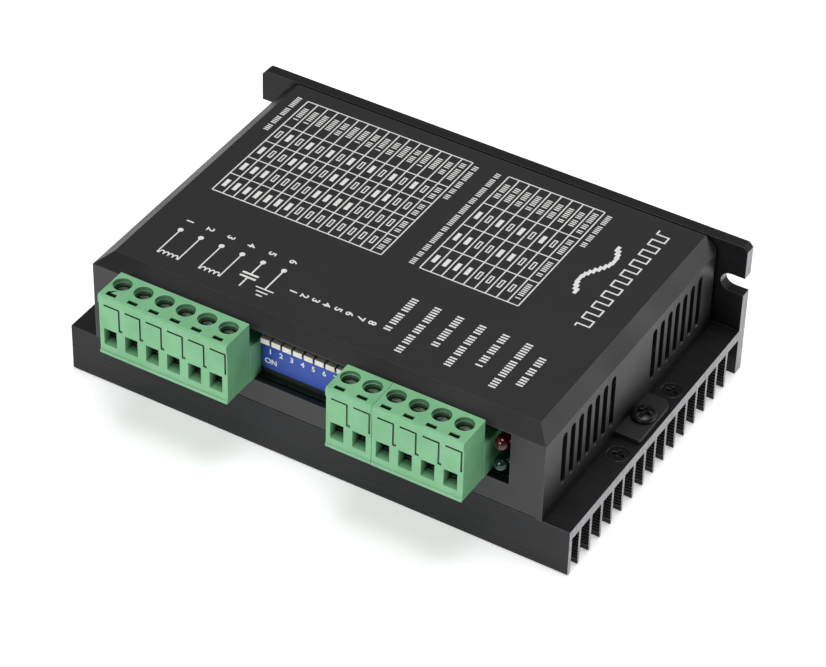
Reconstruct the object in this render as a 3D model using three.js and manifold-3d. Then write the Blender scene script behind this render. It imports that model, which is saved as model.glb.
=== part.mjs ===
// Stepper motor driver module: a finned aluminium base, a folded steel cover and a
// circuit board that carries plug-in terminals, a lever switch and two indicators.
// Frame: origin at the middle of the overall box on its underside. +X runs to the
// right along the terminal side, +Y runs back to the mounting wall, +Z is up.
import * as THREE from 'three';
import { mergeVertices } from 'three/addons/utils/BufferGeometryUtils.js';
import Module from 'manifold-3d';

const wasm = await Module();
wasm.setup();

// ---- driving dimensions, millimetres --------------------------------------------
const base = {
  length: 118, depth: 75.5, height: 33.2, topZ: 11.6, plate: 2.4, wall: 2.6, wallCorner: 1.0,
};
const skirt = { thickness: 1.1, frontCorner: 0.6, backCorner: 0.3 };
const fin = { count: 15, root: 0.7, tip: 0.5, rib: 0.16, ribPitch: 0.8, firstRib: 0.4, forward: 0.7 };
const mountSlot = { height: 4.45, reach: 5.4, centreZ: 23.2 };
const cover = {
  endInset: 6.3, sheet: 1.2, backGap: 0.3, bevelDrop: 2.5, bevelSide: 3.2, bevelFront: 3.4,
  backRadius: 1.6, belowWall: 0.15, frontSeam: 0.25,
};
const vent = { perGroup: 7, pitch: 3.3, width: 1.95, aboveBase: 3.8, belowBevel: 1.9, offset: 18.6 };
const foot = {
  width: 14.2, inset: 0.7, behindMiddle: 0.6, frontRadius: 0.8, backRadius: 2.2, screwInward: 0.1,
  plateScrewSpacing: 23, plateScrewOutward: 0.5,
};
const frontOpening = { belowBoardTop: 0.3, abovePieces: 0.5 };
const board = {
  lift: 4.6, thickness: 1.6, edgeGap: 0.5, backGap: 1, supportInset: 5, frontSupportInset: 16,
};
const pole = { pitch: 5.08 };
const header = {
  front: 1.5, depth: 11.8, height: 8.6, side: 0.9, floor: 1.1, roof: 1.0, back: 1.9, seam: 0.04,
};
const headerNotch = { width: 1.8, depth: 3.2 };
const plug = {
  front: 9.95, back: 1.65, height: 14.95, overBoard: 0.25, tongue: 7.6, play: 0.05,
  chamfer: 0.35, lip: 0.9, lipStep: 0.3, endWall: 0.3, tongueSidePlay: 0.15, tonguePlay: 0.25,
};
const contactHole = { size: 1.2, depth: 6 };
const well = {
  radius: 2.05, rim: 0.9, narrowRadius: 1.88, toBack: 3.1, depth: 3.7, web: 1.1, shankHole: 1.5,
};
const entry = {
  width: 3.2, height: 4.4, fromBottom: 2.1, taper: 1.4, throatWidth: 2.5, throatHeight: 3.2, throatRise: 0.72,
};
const testSlot = { width: 2.3, depth: 1.0, toFront: 1.3, sink: 2.6 };
const panelGroove = {
  width: 0.45, sink: 0.4, fromTop: 2.3, endFromTop: 7.6, foot: 0.45, leftGap: 1.2, rightGap: 0.4,
};
const clamp = { width: 3.4, depth: 4.9, height: 5.8, side: 0.45, floor: 0.8, roof: 1.0, travel: 1.6 };
const clampRoom = { gap: 0.3 };
const terminalScrew = {
  headRadius: 1.75, headHeight: 1.9, shankRadius: 1.2, shank: 5.3, slot: 0.6, slotDepth: 0.9, rim: 0.3,
  play: 0.08,
};
const dip = {
  levers: 8, pitch: 2.54, endMargin: 0.7, face: 2.6, depth: 7.8, baseHeight: 1.6, baseInset: 0.15,
  height: 12.1,
};
const lever = {
  width: 2.1, sideRoom: 0.16, pivotIn: 2.4, pivotDown: 2.1, reach: 4.4, rootRadius: 1.0, rootHalf: 0.7,
  taperFrom: 1, tipHalf: 0.65, room: 0.3, slotDown: 1.7, slotUp: 1.5,
};
const led = {
  radius: 1.55, dome: 1.3, length: 5.3, flangeRadius: 1.95, flange: 1.0, aboveBoard: 4.1,
  spacing: 5.2, lead: 0.5, leadSpacing: 2.54, lowLeadReach: 1.6, highLeadReach: 3.6,
};
const rowGap = { start: 0.6, beforeSwitch: 0.15, afterSwitch: 0.95, beforeLed: 2.8, afterLed: 2.0 };
const panScrew = {
  headRadius: 2.65, headHeight: 1.35, shankRadius: 1.45, recess: 0.9, holeDepth: 2.2, tipGap: 0.2,
  plateHolePlay: 0.1, coverHolePlay: 0.15,
};
const flushScrew = {
  headRadius: 2.2, shankRadius: 1.2, cone: 1.1, rim: 0.3, length: 2.2, recess: 0.8, belowPlate: 0.1,
  play: 0.1,
};
const support = {
  footRadius: 3, footHeight: 1.2, postRadius: 2.4, neckRadius: 1.4, barbRadius: 2.0, barbTipRadius: 0.84,
  barbHeight: 2.4, play: 0.12,
};
const pad = { length: 62, depth: 16, height: 1.2, behindMiddle: 8 };
const bridge = {
  length: 16, depth: 11, spacing: 34, leads: 10, leadWidth: 0.5, leadReach: 1.5, leadInset: 1.3,
};
const controller = {
  size: 12, height: 1.5, x: 12, behindMiddle: 2, leadsPerSide: 9, leadWidth: 0.4, leadReach: 1,
  leadInset: 1.2,
};
const leadThickness = 0.3;
const capacitor = {
  radius: 6.2, length: 20, startX: -34, fromBoardBack: 3, lead: 0.7, leadSpacing: 5, leadReach: 2.4,
  grooveWidth: 0.8, grooveDepth: 0.5, grooveFromEnd: 3,
};

// ---- positions worked out from the sizes above ----------------------------------
const frontY = (plug.front - base.depth) / 2;
const backY = frontY + base.depth;
const wallY = backY - base.wall;
const coverTopZ = base.height - cover.belowWall;
const halfLength = base.length / 2;
const plateBottomZ = base.topZ - base.plate;
const coverHalf = halfLength - cover.endInset;
const footScrewX = coverHalf + (cover.endInset - foot.inset) / 2 - foot.screwInward;
const coverBackY = wallY - cover.backGap;
const fixingY = (frontY + coverBackY) / 2 + foot.behindMiddle;
const boardBottomZ = base.topZ + board.lift;
const boardTopZ = boardBottomZ + board.thickness;
const headerFrontY = frontY - header.front;
const switchWidth = dip.levers * dip.pitch + 2 * dip.endMargin;
const connectorWidth = (poles) => poles * pole.pitch + plug.endWall;
const rowPieces = [
  rowGap.start, connectorWidth(6), rowGap.beforeSwitch, switchWidth, rowGap.afterSwitch,
  connectorWidth(2), connectorWidth(4), rowGap.beforeLed, rowGap.afterLed,
];
const rowWidth = rowPieces.reduce((sum, width) => sum + width, 0);
const powerX = -rowWidth / 2 + rowGap.start;
const switchX = powerX + connectorWidth(6) + rowGap.beforeSwitch;
const enableX = switchX + switchWidth + rowGap.afterSwitch;
const controlX = enableX + connectorWidth(2);
const ledX = controlX + connectorWidth(4) + rowGap.beforeLed;
const connectors = [
  { label: 'motor_power_6way', startX: powerX, poles: 6 },
  { label: 'enable_2way', startX: enableX, poles: 2 },
  { label: 'pulse_direction_4way', startX: controlX, poles: 4 },
];

// ---- finishes -------------------------------------------------------------------
const finish = (color, roughness, metalness) => ({ color, roughness, metalness });
const anodised = finish(0x2b2b2d, 0.45, 0.6);
const blackPaint = finish(0x2e2e30, 0.42, 0.1);
const greenPlastic = finish(0x6fb88a, 0.45, 0);
const bluePlastic = finish(0x2f63c4, 0.4, 0);
const whitePlastic = finish(0xf1efe8, 0.45, 0);
const blackPlastic = finish(0x17181a, 0.5, 0);
const zincSteel = finish(0xa9adb1, 0.35, 1);
const blackSteel = finish(0x1c1c1e, 0.35, 0.8);
const boardLaminate = finish(0x16261c, 0.5, 0);
const redLens = finish(0x7a1424, 0.15, 0);
const greenLens = finish(0x1e5c46, 0.15, 0);
const siliconePad = finish(0x8d97a3, 0.8, 0);
const nylon = finish(0xe6e4da, 0.5, 0);
const sleeve = finish(0x20242e, 0.35, 0);

// ---- solid tools ----------------------------------------------------------------
// Sides of a round piece, how far joined solids reach into each other, and how far a
// cutter runs past the face it cuts.
const smooth = 20;
const coarse = 14;
const bite = 0.2;
const past = 1;

function solidFrom(geometry) {
  geometry.deleteAttribute('normal');
  geometry.deleteAttribute('uv');
  const welded = mergeVertices(geometry, 1e-4);
  return new wasm.Manifold(new wasm.Mesh({
    numProp: 3,
    vertProperties: Float32Array.from(welded.attributes.position.array),
    triVerts: Uint32Array.from(welded.index.array),
  }));
}

function block([x0, x1], [y0, y1], [z0, z1]) {
  const geometry = new THREE.BoxGeometry(x1 - x0, y1 - y0, z1 - z0);
  geometry.translate((x0 + x1) / 2, (y0 + y1) / 2, (z0 + z1) / 2);
  return solidFrom(geometry);
}

function extruded(points, from, to, swap) {
  const shape = new THREE.Shape(points.map(([a, b]) => new THREE.Vector2(a, b)));
  const geometry = new THREE.ExtrudeGeometry(shape, { depth: to - from, bevelEnabled: false });
  geometry.translate(0, 0, from);
  if (swap) geometry.applyMatrix4(swap);
  return solidFrom(geometry);
}

// An outline given as [y, z] pairs, carried from one X to another.
const alongX = new THREE.Matrix4().set(0, 0, 1, 0, 1, 0, 0, 0, 0, 1, 0, 0, 0, 0, 0, 1);
const prismX = (points, x0, x1) => extruded(points, x0, x1, alongX);

// An outline given as [z, x] pairs, carried from one Y to another.
const alongY = new THREE.Matrix4().set(0, 1, 0, 0, 0, 0, 1, 0, 1, 0, 0, 0, 0, 0, 0, 1);
const prismY = (points, y0, y1) => extruded(points, y0, y1, alongY);

// An outline given as [x, y] pairs, carried from one Z to another.
const prismZ = (points, z0, z1) => extruded(points, z0, z1);

// A turned piece: [radius, height] pairs from the axis back to the axis, standing on Z.
function turned(profile, x, y, segments = smooth) {
  const points = profile.map(([radius, z]) => new THREE.Vector2(radius, z));
  const geometry = new THREE.LatheGeometry(points, segments);
  geometry.rotateX(Math.PI / 2);
  geometry.translate(x, y, 0);
  return solidFrom(geometry);
}

const rodZ = (radius, x, y, [z0, z1], segments = smooth) => (
  turned([[0, z0], [radius, z0], [radius, z1], [0, z1]], x, y, segments)
);

function rodX(radius, y, z, [x0, x1], segments = smooth) {
  const geometry = new THREE.CylinderGeometry(radius, radius, x1 - x0, segments);
  geometry.rotateZ(-Math.PI / 2);
  geometry.translate((x0 + x1) / 2, y, z);
  return solidFrom(geometry);
}

const joined = (solids) => solids.reduce((whole, next) => whole.add(next));
const cutBy = (solid, tools) => tools.reduce((whole, tool) => whole.subtract(tool), solid);
const range = (count) => [...Array(count).keys()];
const mirroredX = (solid) => solid.mirror([1, 0, 0]);

function arc(cx, cy, radius, fromDegrees, toDegrees, steps) {
  return range(steps + 1).map((i) => {
    const angle = THREE.MathUtils.degToRad(fromDegrees + (toDegrees - fromDegrees) * i / steps);
    return [cx + radius * Math.cos(angle), cy + radius * Math.sin(angle)];
  });
}

const group = new THREE.Group();
group.name = 'stepper_driver_module';

function addPart(name, solid, look) {
  const { vertProperties, triVerts } = solid.getMesh();
  const geometry = new THREE.BufferGeometry();
  geometry.setAttribute('position', new THREE.BufferAttribute(vertProperties, 3));
  geometry.setIndex(new THREE.BufferAttribute(triVerts, 1));
  geometry.computeVertexNormals();
  const mesh = new THREE.Mesh(geometry, new THREE.MeshStandardMaterial(look));
  mesh.name = name;
  group.add(mesh);
}

// ---- aluminium base -------------------------------------------------------------
// One side of a fin from root to tip, with small ribs that run the length of the base.
function finFlank(side) {
  const ribs = Math.floor((plateBottomZ - fin.tip) / fin.ribPitch);
  const half = (z) => (fin.tip + (fin.root - fin.tip) * z / plateBottomZ) / 2;
  return range(ribs).flatMap((i) => {
    const top = plateBottomZ - fin.firstRib - i * fin.ribPitch;
    const valley = top - fin.ribPitch / 2;
    return [[side * (half(top) + fin.rib), top], [side * half(valley), valley]];
  });
}

function finOutline(y) {
  const half = fin.tip / 2;
  const overlap = plateBottomZ + bite;
  const tip = arc(0, half, half, 180, 360, 4);
  const left = [[-fin.root / 2, overlap], ...finFlank(-1)];
  const right = [[fin.root / 2, overlap], ...finFlank(1)].reverse();
  return [...left, ...tip, ...right].map(([across, z]) => [y + across, z]);
}

function skirtOutline() {
  const { thickness, frontCorner, backCorner } = skirt;
  const inner = frontY + thickness;
  const top = base.topZ - bite;
  const corner = arc(frontY + frontCorner, frontCorner, frontCorner, 270, 180, 3);
  return [[inner, top], [inner, backCorner], [inner - backCorner, 0], ...corner, [frontY, top]];
}

function mountSlotCutter() {
  const radius = mountSlot.height / 2;
  const endX = halfLength - mountSlot.reach + radius;
  const z = mountSlot.centreZ;
  const round = arc(z, endX, radius, 360, 180, 10);
  const outline = [...round, [z - radius, halfLength + past], [z + radius, halfLength + past]];
  return prismY(outline, wallY - past, backY + past);
}

// The wall with its two top corners cut off.
function backWall() {
  const corner = base.wallCorner;
  const outline = [
    [0, -halfLength], [base.height - corner, -halfLength], [base.height, -halfLength + corner],
    [base.height, halfLength - corner], [base.height - corner, halfLength], [0, halfLength],
  ];
  return prismY(outline, wallY, backY);
}

function plateScrewPlaces() {
  const x = footScrewX + foot.plateScrewOutward;
  const reach = foot.plateScrewSpacing / 2;
  return [[x, fixingY - reach], [x, fixingY + reach], [-x, fixingY - reach], [-x, fixingY + reach]];
}

function heatsink() {
  const skirtY = frontY + skirt.thickness / 2;
  const pitch = (wallY - skirtY) / (fin.count + 1);
  const fins = range(fin.count).map((i) => (
    prismX(finOutline(skirtY - fin.forward + (i + 1) * pitch), -halfLength, halfLength)
  ));
  const plate = block([-halfLength, halfLength], [frontY, backY], [plateBottomZ, base.topZ]);
  const body = joined([plate, prismX(skirtOutline(), -halfLength, halfLength), backWall(), ...fins]);
  const slot = mountSlotCutter();
  const screwHoles = [footScrewX, -footScrewX].map((x) => (
    rodZ(panScrew.shankRadius + panScrew.plateHolePlay, x, fixingY,
      [base.topZ - panScrew.holeDepth, base.topZ + past], coarse)
  ));
  const sinks = plateScrewPlaces().map(([x, y]) => flushScrewShape(x, y, flushScrew.play, base.topZ + past));
  return cutBy(body, [slot, mirroredX(slot), ...screwHoles, ...sinks]);
}

// ---- folded cover ---------------------------------------------------------------
// The cover's outer form shrunk by an even wall, standing from bottomZ up.
function coverForm(shrink, bottomZ) {
  const side = coverHalf - shrink;
  const front = frontY + shrink;
  const back = coverBackY - shrink;
  const top = coverTopZ - shrink;
  const sideSlope = shrink * (Math.hypot(cover.bevelSide, cover.bevelDrop) - cover.bevelDrop);
  const frontSlope = shrink * (Math.hypot(cover.bevelFront, cover.bevelDrop) - cover.bevelDrop);
  const sideRun = cover.bevelSide - shrink + sideSlope / cover.bevelDrop;
  const frontRun = cover.bevelFront - shrink + frontSlope / cover.bevelDrop;
  const sideDrop = cover.bevelDrop * sideRun / cover.bevelSide;
  const frontDrop = cover.bevelDrop * frontRun / cover.bevelFront;
  const across = [
    [bottomZ, -side], [top - sideDrop, -side], [top, -side + sideRun],
    [top, side - sideRun], [top - sideDrop, side], [bottomZ, side],
  ];
  const along = [
    [front, bottomZ], [back, bottomZ], [back, top], [front + frontRun, top], [front, top - frontDrop],
  ];
  const radius = Math.max(cover.backRadius - shrink, 0.2);
  const plan = [
    [-side, front], [side, front], ...arc(side - radius, back - radius, radius, 0, 90, 4),
    ...arc(-side + radius, back - radius, radius, 90, 180, 4),
  ];
  return prismY(across, front, back)
    .intersect(prismX(along, -side, side))
    .intersect(prismZ(plan, bottomZ, top));
}

// A foot bent out from the side wall onto the base, with a hole for its screw.
function coverFoot() {
  const outer = halfLength - foot.inset;
  const front = fixingY - foot.width / 2;
  const back = fixingY + foot.width / 2;
  const inner = coverHalf - cover.sheet / 2;
  const { frontRadius, backRadius } = foot;
  const outline = [
    [inner, front], ...arc(outer - frontRadius, front + frontRadius, frontRadius, 270, 360, 3),
    ...arc(outer - backRadius, back - backRadius, backRadius, 0, 90, 4), [inner, back],
  ];
  const hole = rodZ(panScrew.shankRadius + panScrew.coverHolePlay, footScrewX, fixingY,
    [base.topZ - past, base.topZ + cover.sheet + past], coarse);
  return prismZ(outline, base.topZ, base.topZ + cover.sheet).subtract(hole);
}

// One upright vent, a slot with round ends, cut through both side walls at once.
function ventSlot(y) {
  const radius = vent.width / 2;
  const bottom = base.topZ + vent.aboveBase + radius;
  const top = coverTopZ - cover.bevelDrop - vent.belowBevel - radius;
  const outline = [...arc(y, bottom, radius, 180, 360, 4), ...arc(y, top, radius, 0, 180, 4)];
  return prismX(outline, -coverHalf - past, coverHalf + past);
}

function ventSlots() {
  const middle = (frontY + coverBackY) / 2;
  const firstOffset = (vent.perGroup - 1) / 2;
  return [-1, 1].flatMap((side) => range(vent.perGroup).map((i) => (
    ventSlot(middle + side * vent.offset + (i - firstOffset) * vent.pitch)
  )));
}

function folded() {
  const shell = coverForm(0, base.topZ).subtract(coverForm(cover.sheet, base.topZ - past));
  const right = coverFoot();
  const tallest = Math.max(dip.height, led.aboveBoard + led.spacing + led.flangeRadius);
  const opening = block(
    [-rowWidth / 2, rowWidth / 2],
    [frontY - past, frontY + cover.bevelFront + cover.sheet],
    [boardTopZ - frontOpening.belowBoardTop, boardTopZ + tallest + frontOpening.abovePieces],
  );
  // The front's lower edge stands a little above the base, between the side walls.
  const inner = coverHalf - cover.sheet;
  const seam = block([-inner, inner], [frontY - past, frontY + cover.sheet + bite],
    [base.topZ - past, base.topZ + cover.frontSeam]);
  return cutBy(joined([shell, right, mirroredX(right)]), [opening, seam, ...ventSlots()]);
}

// ---- fasteners ------------------------------------------------------------------
function crossRecess(x, y, topZ, size, depth) {
  const arm = size * 0.16;
  const reach = size * 0.6;
  const one = block([x - reach, x + reach], [y - arm, y + arm], [topZ - depth, topZ + past]);
  const other = block([x - arm, x + arm], [y - reach, y + reach], [topZ - depth, topZ + past]);
  return one.add(other);
}

function panHeadScrew(x, y) {
  const seat = base.topZ + cover.sheet;
  const { headRadius, headHeight, shankRadius } = panScrew;
  const tip = base.topZ - panScrew.holeDepth + panScrew.tipGap;
  const profile = [
    [0, tip], [shankRadius, tip], [shankRadius, seat], [headRadius, seat],
    [headRadius, seat + headHeight * 0.55],
    [headRadius * 0.85, seat + headHeight * 0.85], [headRadius * 0.5, seat + headHeight],
    [0, seat + headHeight],
  ];
  const recess = crossRecess(x, y, seat + headHeight, headRadius, panScrew.recess);
  return turned(profile, x, y).subtract(recess);
}

// A flush screw up to a height, or with some play the hole it sits in.
function flushScrewShape(x, y, play, top) {
  const { headRadius, shankRadius, cone, rim, length } = flushScrew;
  const profile = [
    [0, base.topZ - length], [shankRadius + play, base.topZ - length],
    [shankRadius + play, base.topZ - rim - cone], [headRadius + play, base.topZ - rim],
    [headRadius + play, top], [0, top],
  ];
  return turned(profile, x, y);
}

function flushHeadScrew(x, y) {
  const top = base.topZ - flushScrew.belowPlate;
  const recess = crossRecess(x, y, top, flushScrew.headRadius, flushScrew.recess);
  return flushScrewShape(x, y, 0, top).subtract(recess);
}

// ---- circuit board and what it carries ------------------------------------------
const boardHalf = coverHalf - cover.sheet - board.edgeGap;
const boardFrontY = frontY + cover.sheet + board.edgeGap;
const boardBackY = coverBackY - cover.sheet - board.edgeGap - board.backGap;
const boardMiddleY = (boardFrontY + boardBackY) / 2;

const supportPlaces = [
  ['left_front', -1, boardFrontY + board.frontSupportInset],
  ['right_front', 1, boardFrontY + board.frontSupportInset],
  ['left_back', -1, boardBackY - board.supportInset],
  ['right_back', 1, boardBackY - board.supportInset],
].map(([place, side, y]) => ({ place, x: side * (boardHalf - board.supportInset), y }));

function circuitBoard() {
  const plate = block([-boardHalf, boardHalf], [boardFrontY, boardBackY], [boardBottomZ, boardTopZ]);
  const holes = supportPlaces.map(({ x, y }) => (
    rodZ(support.neckRadius + support.play, x, y, [boardBottomZ - past, boardTopZ + past], coarse)
  ));
  return cutBy(plate, holes);
}

// A one-piece nylon post: wide foot on the base, neck through the board, barb above it.
function boardSupport(x, y) {
  const footTop = base.topZ + support.footHeight;
  const tip = boardTopZ + support.barbHeight;
  const profile = [
    [0, base.topZ], [support.footRadius, base.topZ], [support.footRadius, footTop],
    [support.postRadius, footTop], [support.postRadius, boardBottomZ],
    [support.neckRadius, boardBottomZ], [support.neckRadius, boardTopZ], [support.barbRadius, boardTopZ],
    [support.barbTipRadius, tip], [0, tip],
  ];
  return turned(profile, x, y, coarse);
}

const span = (middle, half) => [middle - half, middle + half];

// The middles of a row of leads that spreads over a chip's side.
function leadRow(length, inset, count) {
  return range(count).map((i) => inset - length / 2 + i * (length - 2 * inset) / (count - 1));
}

// A chip under the board, with its back on the pad that leads its heat into the base.
function bridgeChip(x) {
  const y = boardMiddleY + pad.behindMiddle;
  const bottom = base.topZ + pad.height;
  const body = block(span(x, bridge.length / 2), span(y, bridge.depth / 2), [bottom, boardBottomZ]);
  const leads = leadRow(bridge.length, bridge.leadInset, bridge.leads).map((along) => (
    block(span(x + along, bridge.leadWidth / 2), span(y, bridge.depth / 2 + bridge.leadReach),
      [boardBottomZ - leadThickness, boardBottomZ])
  ));
  return joined([body, ...leads]);
}

function thermalPad() {
  const y = boardMiddleY + pad.behindMiddle;
  return block(span(0, pad.length / 2), span(y, pad.depth / 2), [base.topZ, base.topZ + pad.height]);
}

function controllerChip() {
  const { x, size } = controller;
  const y = boardMiddleY + controller.behindMiddle;
  const reach = size / 2 + controller.leadReach;
  const leadHalf = controller.leadWidth / 2;
  const onBoard = [boardTopZ, boardTopZ + leadThickness];
  const body = block(span(x, size / 2), span(y, size / 2), [boardTopZ, boardTopZ + controller.height]);
  const leads = leadRow(size, controller.leadInset, controller.leadsPerSide).flatMap((along) => [
    block(span(x + along, leadHalf), span(y, reach), onBoard),
    block(span(x, reach), span(y + along, leadHalf), onBoard),
  ]);
  return joined([body, ...leads]);
}

// A wound capacitor lying on the board with its two leads bent down.
function lyingCapacitor() {
  const { radius, startX, lead, grooveWidth, grooveDepth, grooveFromEnd } = capacitor;
  const y = boardBackY - radius - capacitor.fromBoardBack;
  const z = boardTopZ + radius;
  const endX = startX + capacitor.length;
  const grooveX = endX - grooveFromEnd;
  const can = rodX(radius, y, z, [startX, endX], 24);
  const groove = rodX(radius + past, y, z, span(grooveX, grooveWidth / 2), 24)
    .subtract(rodX(radius - grooveDepth, y, z, span(grooveX, grooveWidth), 24));
  const leads = [-0.5, 0.5].flatMap((side) => {
    const across = span(y + side * capacitor.leadSpacing, lead / 2);
    const leadEnd = endX + capacitor.leadReach;
    return [
      block([endX - bite, leadEnd], across, span(z, lead / 2)),
      block([leadEnd - lead, leadEnd], across, [boardTopZ, z]),
    ];
  });
  return joined([can.subtract(groove), ...leads]);
}

// ---- board header: an open-fronted box the plug's tongue slides into --------------
function headerSocket({ startX, poles }) {
  const x0 = startX + header.seam;
  const x1 = startX + connectorWidth(poles) - header.seam;
  const top = boardTopZ + header.height;
  const backEnd = headerFrontY + header.depth;
  const shell = block([x0, x1], [headerFrontY, backEnd], [boardTopZ, top]);
  const room = block(
    [x0 + header.side, x1 - header.side],
    [headerFrontY - past, backEnd - header.back],
    [boardTopZ + header.floor, top - header.roof],
  );
  const notches = range(poles).map((i) => {
    const x = startX + (i + 0.5) * pole.pitch;
    return block(span(x, headerNotch.width / 2), [headerFrontY - past, headerFrontY + headerNotch.depth],
      [top - header.roof - bite, top + past]);
  });
  return cutBy(shell, [room, ...notches]);
}

// ---- plug: block with screw wells and wire entries, and a tongue for the header ---
const plugBottomZ = boardTopZ + plug.overBoard;
const plugTopZ = plugBottomZ + plug.height;
const plugFrontY = frontY - plug.front;
const plugBackY = frontY - plug.back;
const screwY = plugBackY - well.toBack;
const wellFloorZ = plugTopZ - well.depth;
const roomTopZ = wellFloorZ - well.web;
const clampBottomZ = roomTopZ - clampRoom.gap - clamp.travel - clamp.height;
const entryBottomZ = plugBottomZ + entry.fromBottom;

function plugBlock(x0, x1) {
  const notch = plugTopZ - panelGroove.fromTop;
  const outline = [
    [plugFrontY + plug.lipStep, plugBottomZ + plug.lip], [plugFrontY, plugBottomZ + plug.lip - plug.lipStep],
    [plugFrontY, plugBottomZ], [plugBackY, plugBottomZ], [plugBackY, plugTopZ],
    [plugFrontY + plug.chamfer, plugTopZ], [plugFrontY, plugTopZ - plug.chamfer],
    [plugFrontY, notch + plug.lipStep], [plugFrontY + plug.lipStep, notch],
  ];
  return prismX(outline.reverse(), x0, x1);
}

function plugTongue(x0, x1) {
  const side = header.side + plug.tongueSidePlay;
  const low = boardTopZ + header.floor + plug.tonguePlay;
  const high = boardTopZ + header.height - header.roof - plug.tonguePlay;
  return block([x0 + side, x1 - side], [plugBackY - bite, plugBackY + plug.tongue], [low, high]);
}

// A wire entry: wide at the face, narrowing to the clamp room.
function wireEntry(x) {
  const low = entryBottomZ;
  const face = plugFrontY + plug.lipStep - bite;
  const inner = plugFrontY + entry.taper;
  const room = screwY - clamp.depth / 2 - clampRoom.gap + bite;
  const plan = [
    [x - entry.width / 2, face], [x + entry.width / 2, face], [x + entry.throatWidth / 2, inner],
    [x + entry.throatWidth / 2, room], [x - entry.throatWidth / 2, room], [x - entry.throatWidth / 2, inner],
  ];
  const throatLow = low + entry.throatRise;
  const throatHigh = throatLow + entry.throatHeight;
  const side = [
    [face, low], [inner, throatLow], [room, throatLow], [room, throatHigh], [inner, throatHigh],
    [face, low + entry.height],
  ];
  return prismZ(plan, low - past, low + entry.height + past)
    .intersect(prismX(side, x - entry.width, x + entry.width));
}

function poleCutters(x) {
  const roomX = clamp.width / 2 + clampRoom.gap;
  const roomY = clamp.depth / 2 + clampRoom.gap;
  const pinY = plugBackY + plug.tongue;
  const pinZ = boardTopZ + header.height / 2;
  const grooveZ = plugTopZ - panelGroove.fromTop - panelGroove.width;
  const faceY = plugFrontY + plug.lipStep + panelGroove.sink;
  const slotY = plugFrontY + testSlot.toFront;
  const grooveX = [x - pole.pitch / 2 + panelGroove.leftGap, x + pole.pitch / 2 - panelGroove.rightGap];
  return [
    rodZ(well.radius, x, screwY, [plugTopZ - well.rim, plugTopZ + past]),
    rodZ(well.narrowRadius, x, screwY, [wellFloorZ, plugTopZ]),
    rodZ(well.shankHole, x, screwY, [roomTopZ - past, wellFloorZ + past], coarse),
    block(span(x, roomX), span(screwY, roomY), [clampBottomZ - clampRoom.gap, roomTopZ]),
    wireEntry(x),
    block(span(x, testSlot.width / 2), span(slotY, testSlot.depth / 2),
      [plugTopZ - testSlot.sink, plugTopZ + past]),
    block(span(x, contactHole.size / 2), [pinY - contactHole.depth, pinY + past],
      span(pinZ, contactHole.size / 2)),
    block(grooveX, [plugFrontY - past, faceY], [grooveZ, grooveZ + panelGroove.width]),
  ];
}

// The upright groove to the right of a pole, with a short foot where another pole follows.
function panelSeam(x, footReach) {
  const faceY = plugFrontY + plug.lipStep + panelGroove.sink;
  const low = plugTopZ - panelGroove.endFromTop;
  const depth = [plugFrontY - past, faceY];
  const upright = block([x - panelGroove.width, x], depth, [low, plugTopZ - panelGroove.fromTop]);
  if (footReach === 0) return upright;
  const footHeight = [low - panelGroove.width, low + bite];
  return upright.add(block([x - panelGroove.width, x + footReach], depth, footHeight));
}

function terminalPlug({ startX, poles }) {
  const x0 = startX + plug.play;
  const x1 = startX + connectorWidth(poles) - plug.play;
  const cutters = range(poles).flatMap((i) => poleCutters(startX + (i + 0.5) * pole.pitch));
  const seams = range(poles).map((i) => (
    panelSeam(startX + (i + 1) * pole.pitch, i < poles - 1 ? panelGroove.foot : 0)
  ));
  return cutBy(plugBlock(x0, x1).add(plugTongue(x0, x1)), [...cutters, ...seams]);
}

function wireScrew(x) {
  const top = wellFloorZ + terminalScrew.headHeight;
  const { headRadius, shankRadius, shank, slot, slotDepth, rim } = terminalScrew;
  const profile = [
    [0, wellFloorZ - shank], [shankRadius, wellFloorZ - shank], [shankRadius, wellFloorZ],
    [headRadius, wellFloorZ], [headRadius, top - rim], [headRadius - rim, top], [0, top],
  ];
  const driveSlot = block(span(x, headRadius + past), span(screwY, slot / 2), [top - slotDepth, top + past]);
  return turned(profile, x, screwY, coarse).subtract(driveSlot);
}

// The cage the screw lifts: a wire goes in through its window.
function wireClamp(x) {
  const halfX = clamp.width / 2;
  const halfY = clamp.depth / 2;
  const top = clampBottomZ + clamp.height;
  const cage = block(span(x, halfX), span(screwY, halfY), [clampBottomZ, top]);
  const window = block(span(x, halfX - clamp.side), span(screwY, halfY + past),
    [clampBottomZ + clamp.floor, top - clamp.roof]);
  const hole = rodZ(terminalScrew.shankRadius + terminalScrew.play, x, screwY,
    [top - clamp.roof - past, top + past], coarse);
  return cutBy(cage, [window, hole]);
}

// ---- lever switch ---------------------------------------------------------------
const switchFaceY = frontY + dip.face;
const switchBaseTopZ = boardTopZ + dip.baseHeight;
const switchTopZ = boardTopZ + dip.height;
const pivotY = switchFaceY + lever.pivotIn;
const pivotZ = switchTopZ - lever.pivotDown;
const leverX = (i) => switchX + dip.endMargin + (i + 0.5) * dip.pitch;

function switchHousing() {
  const body = block([switchX, switchX + switchWidth], [switchFaceY, switchFaceY + dip.depth],
    [switchBaseTopZ, switchTopZ]);
  const slots = range(dip.levers).map((i) => {
    const half = (lever.width + lever.sideRoom) / 2;
    const end = pivotY + lever.rootRadius + lever.room;
    return block(span(leverX(i), half), [switchFaceY - past, end],
      [pivotZ - lever.slotDown, pivotZ + lever.slotUp]);
  });
  return cutBy(body, slots);
}

function switchBase() {
  const inset = dip.baseInset;
  return block([switchX + inset, switchX + switchWidth - inset],
    [switchFaceY + inset, switchFaceY + dip.depth - inset], [boardTopZ, switchBaseTopZ]);
}

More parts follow.
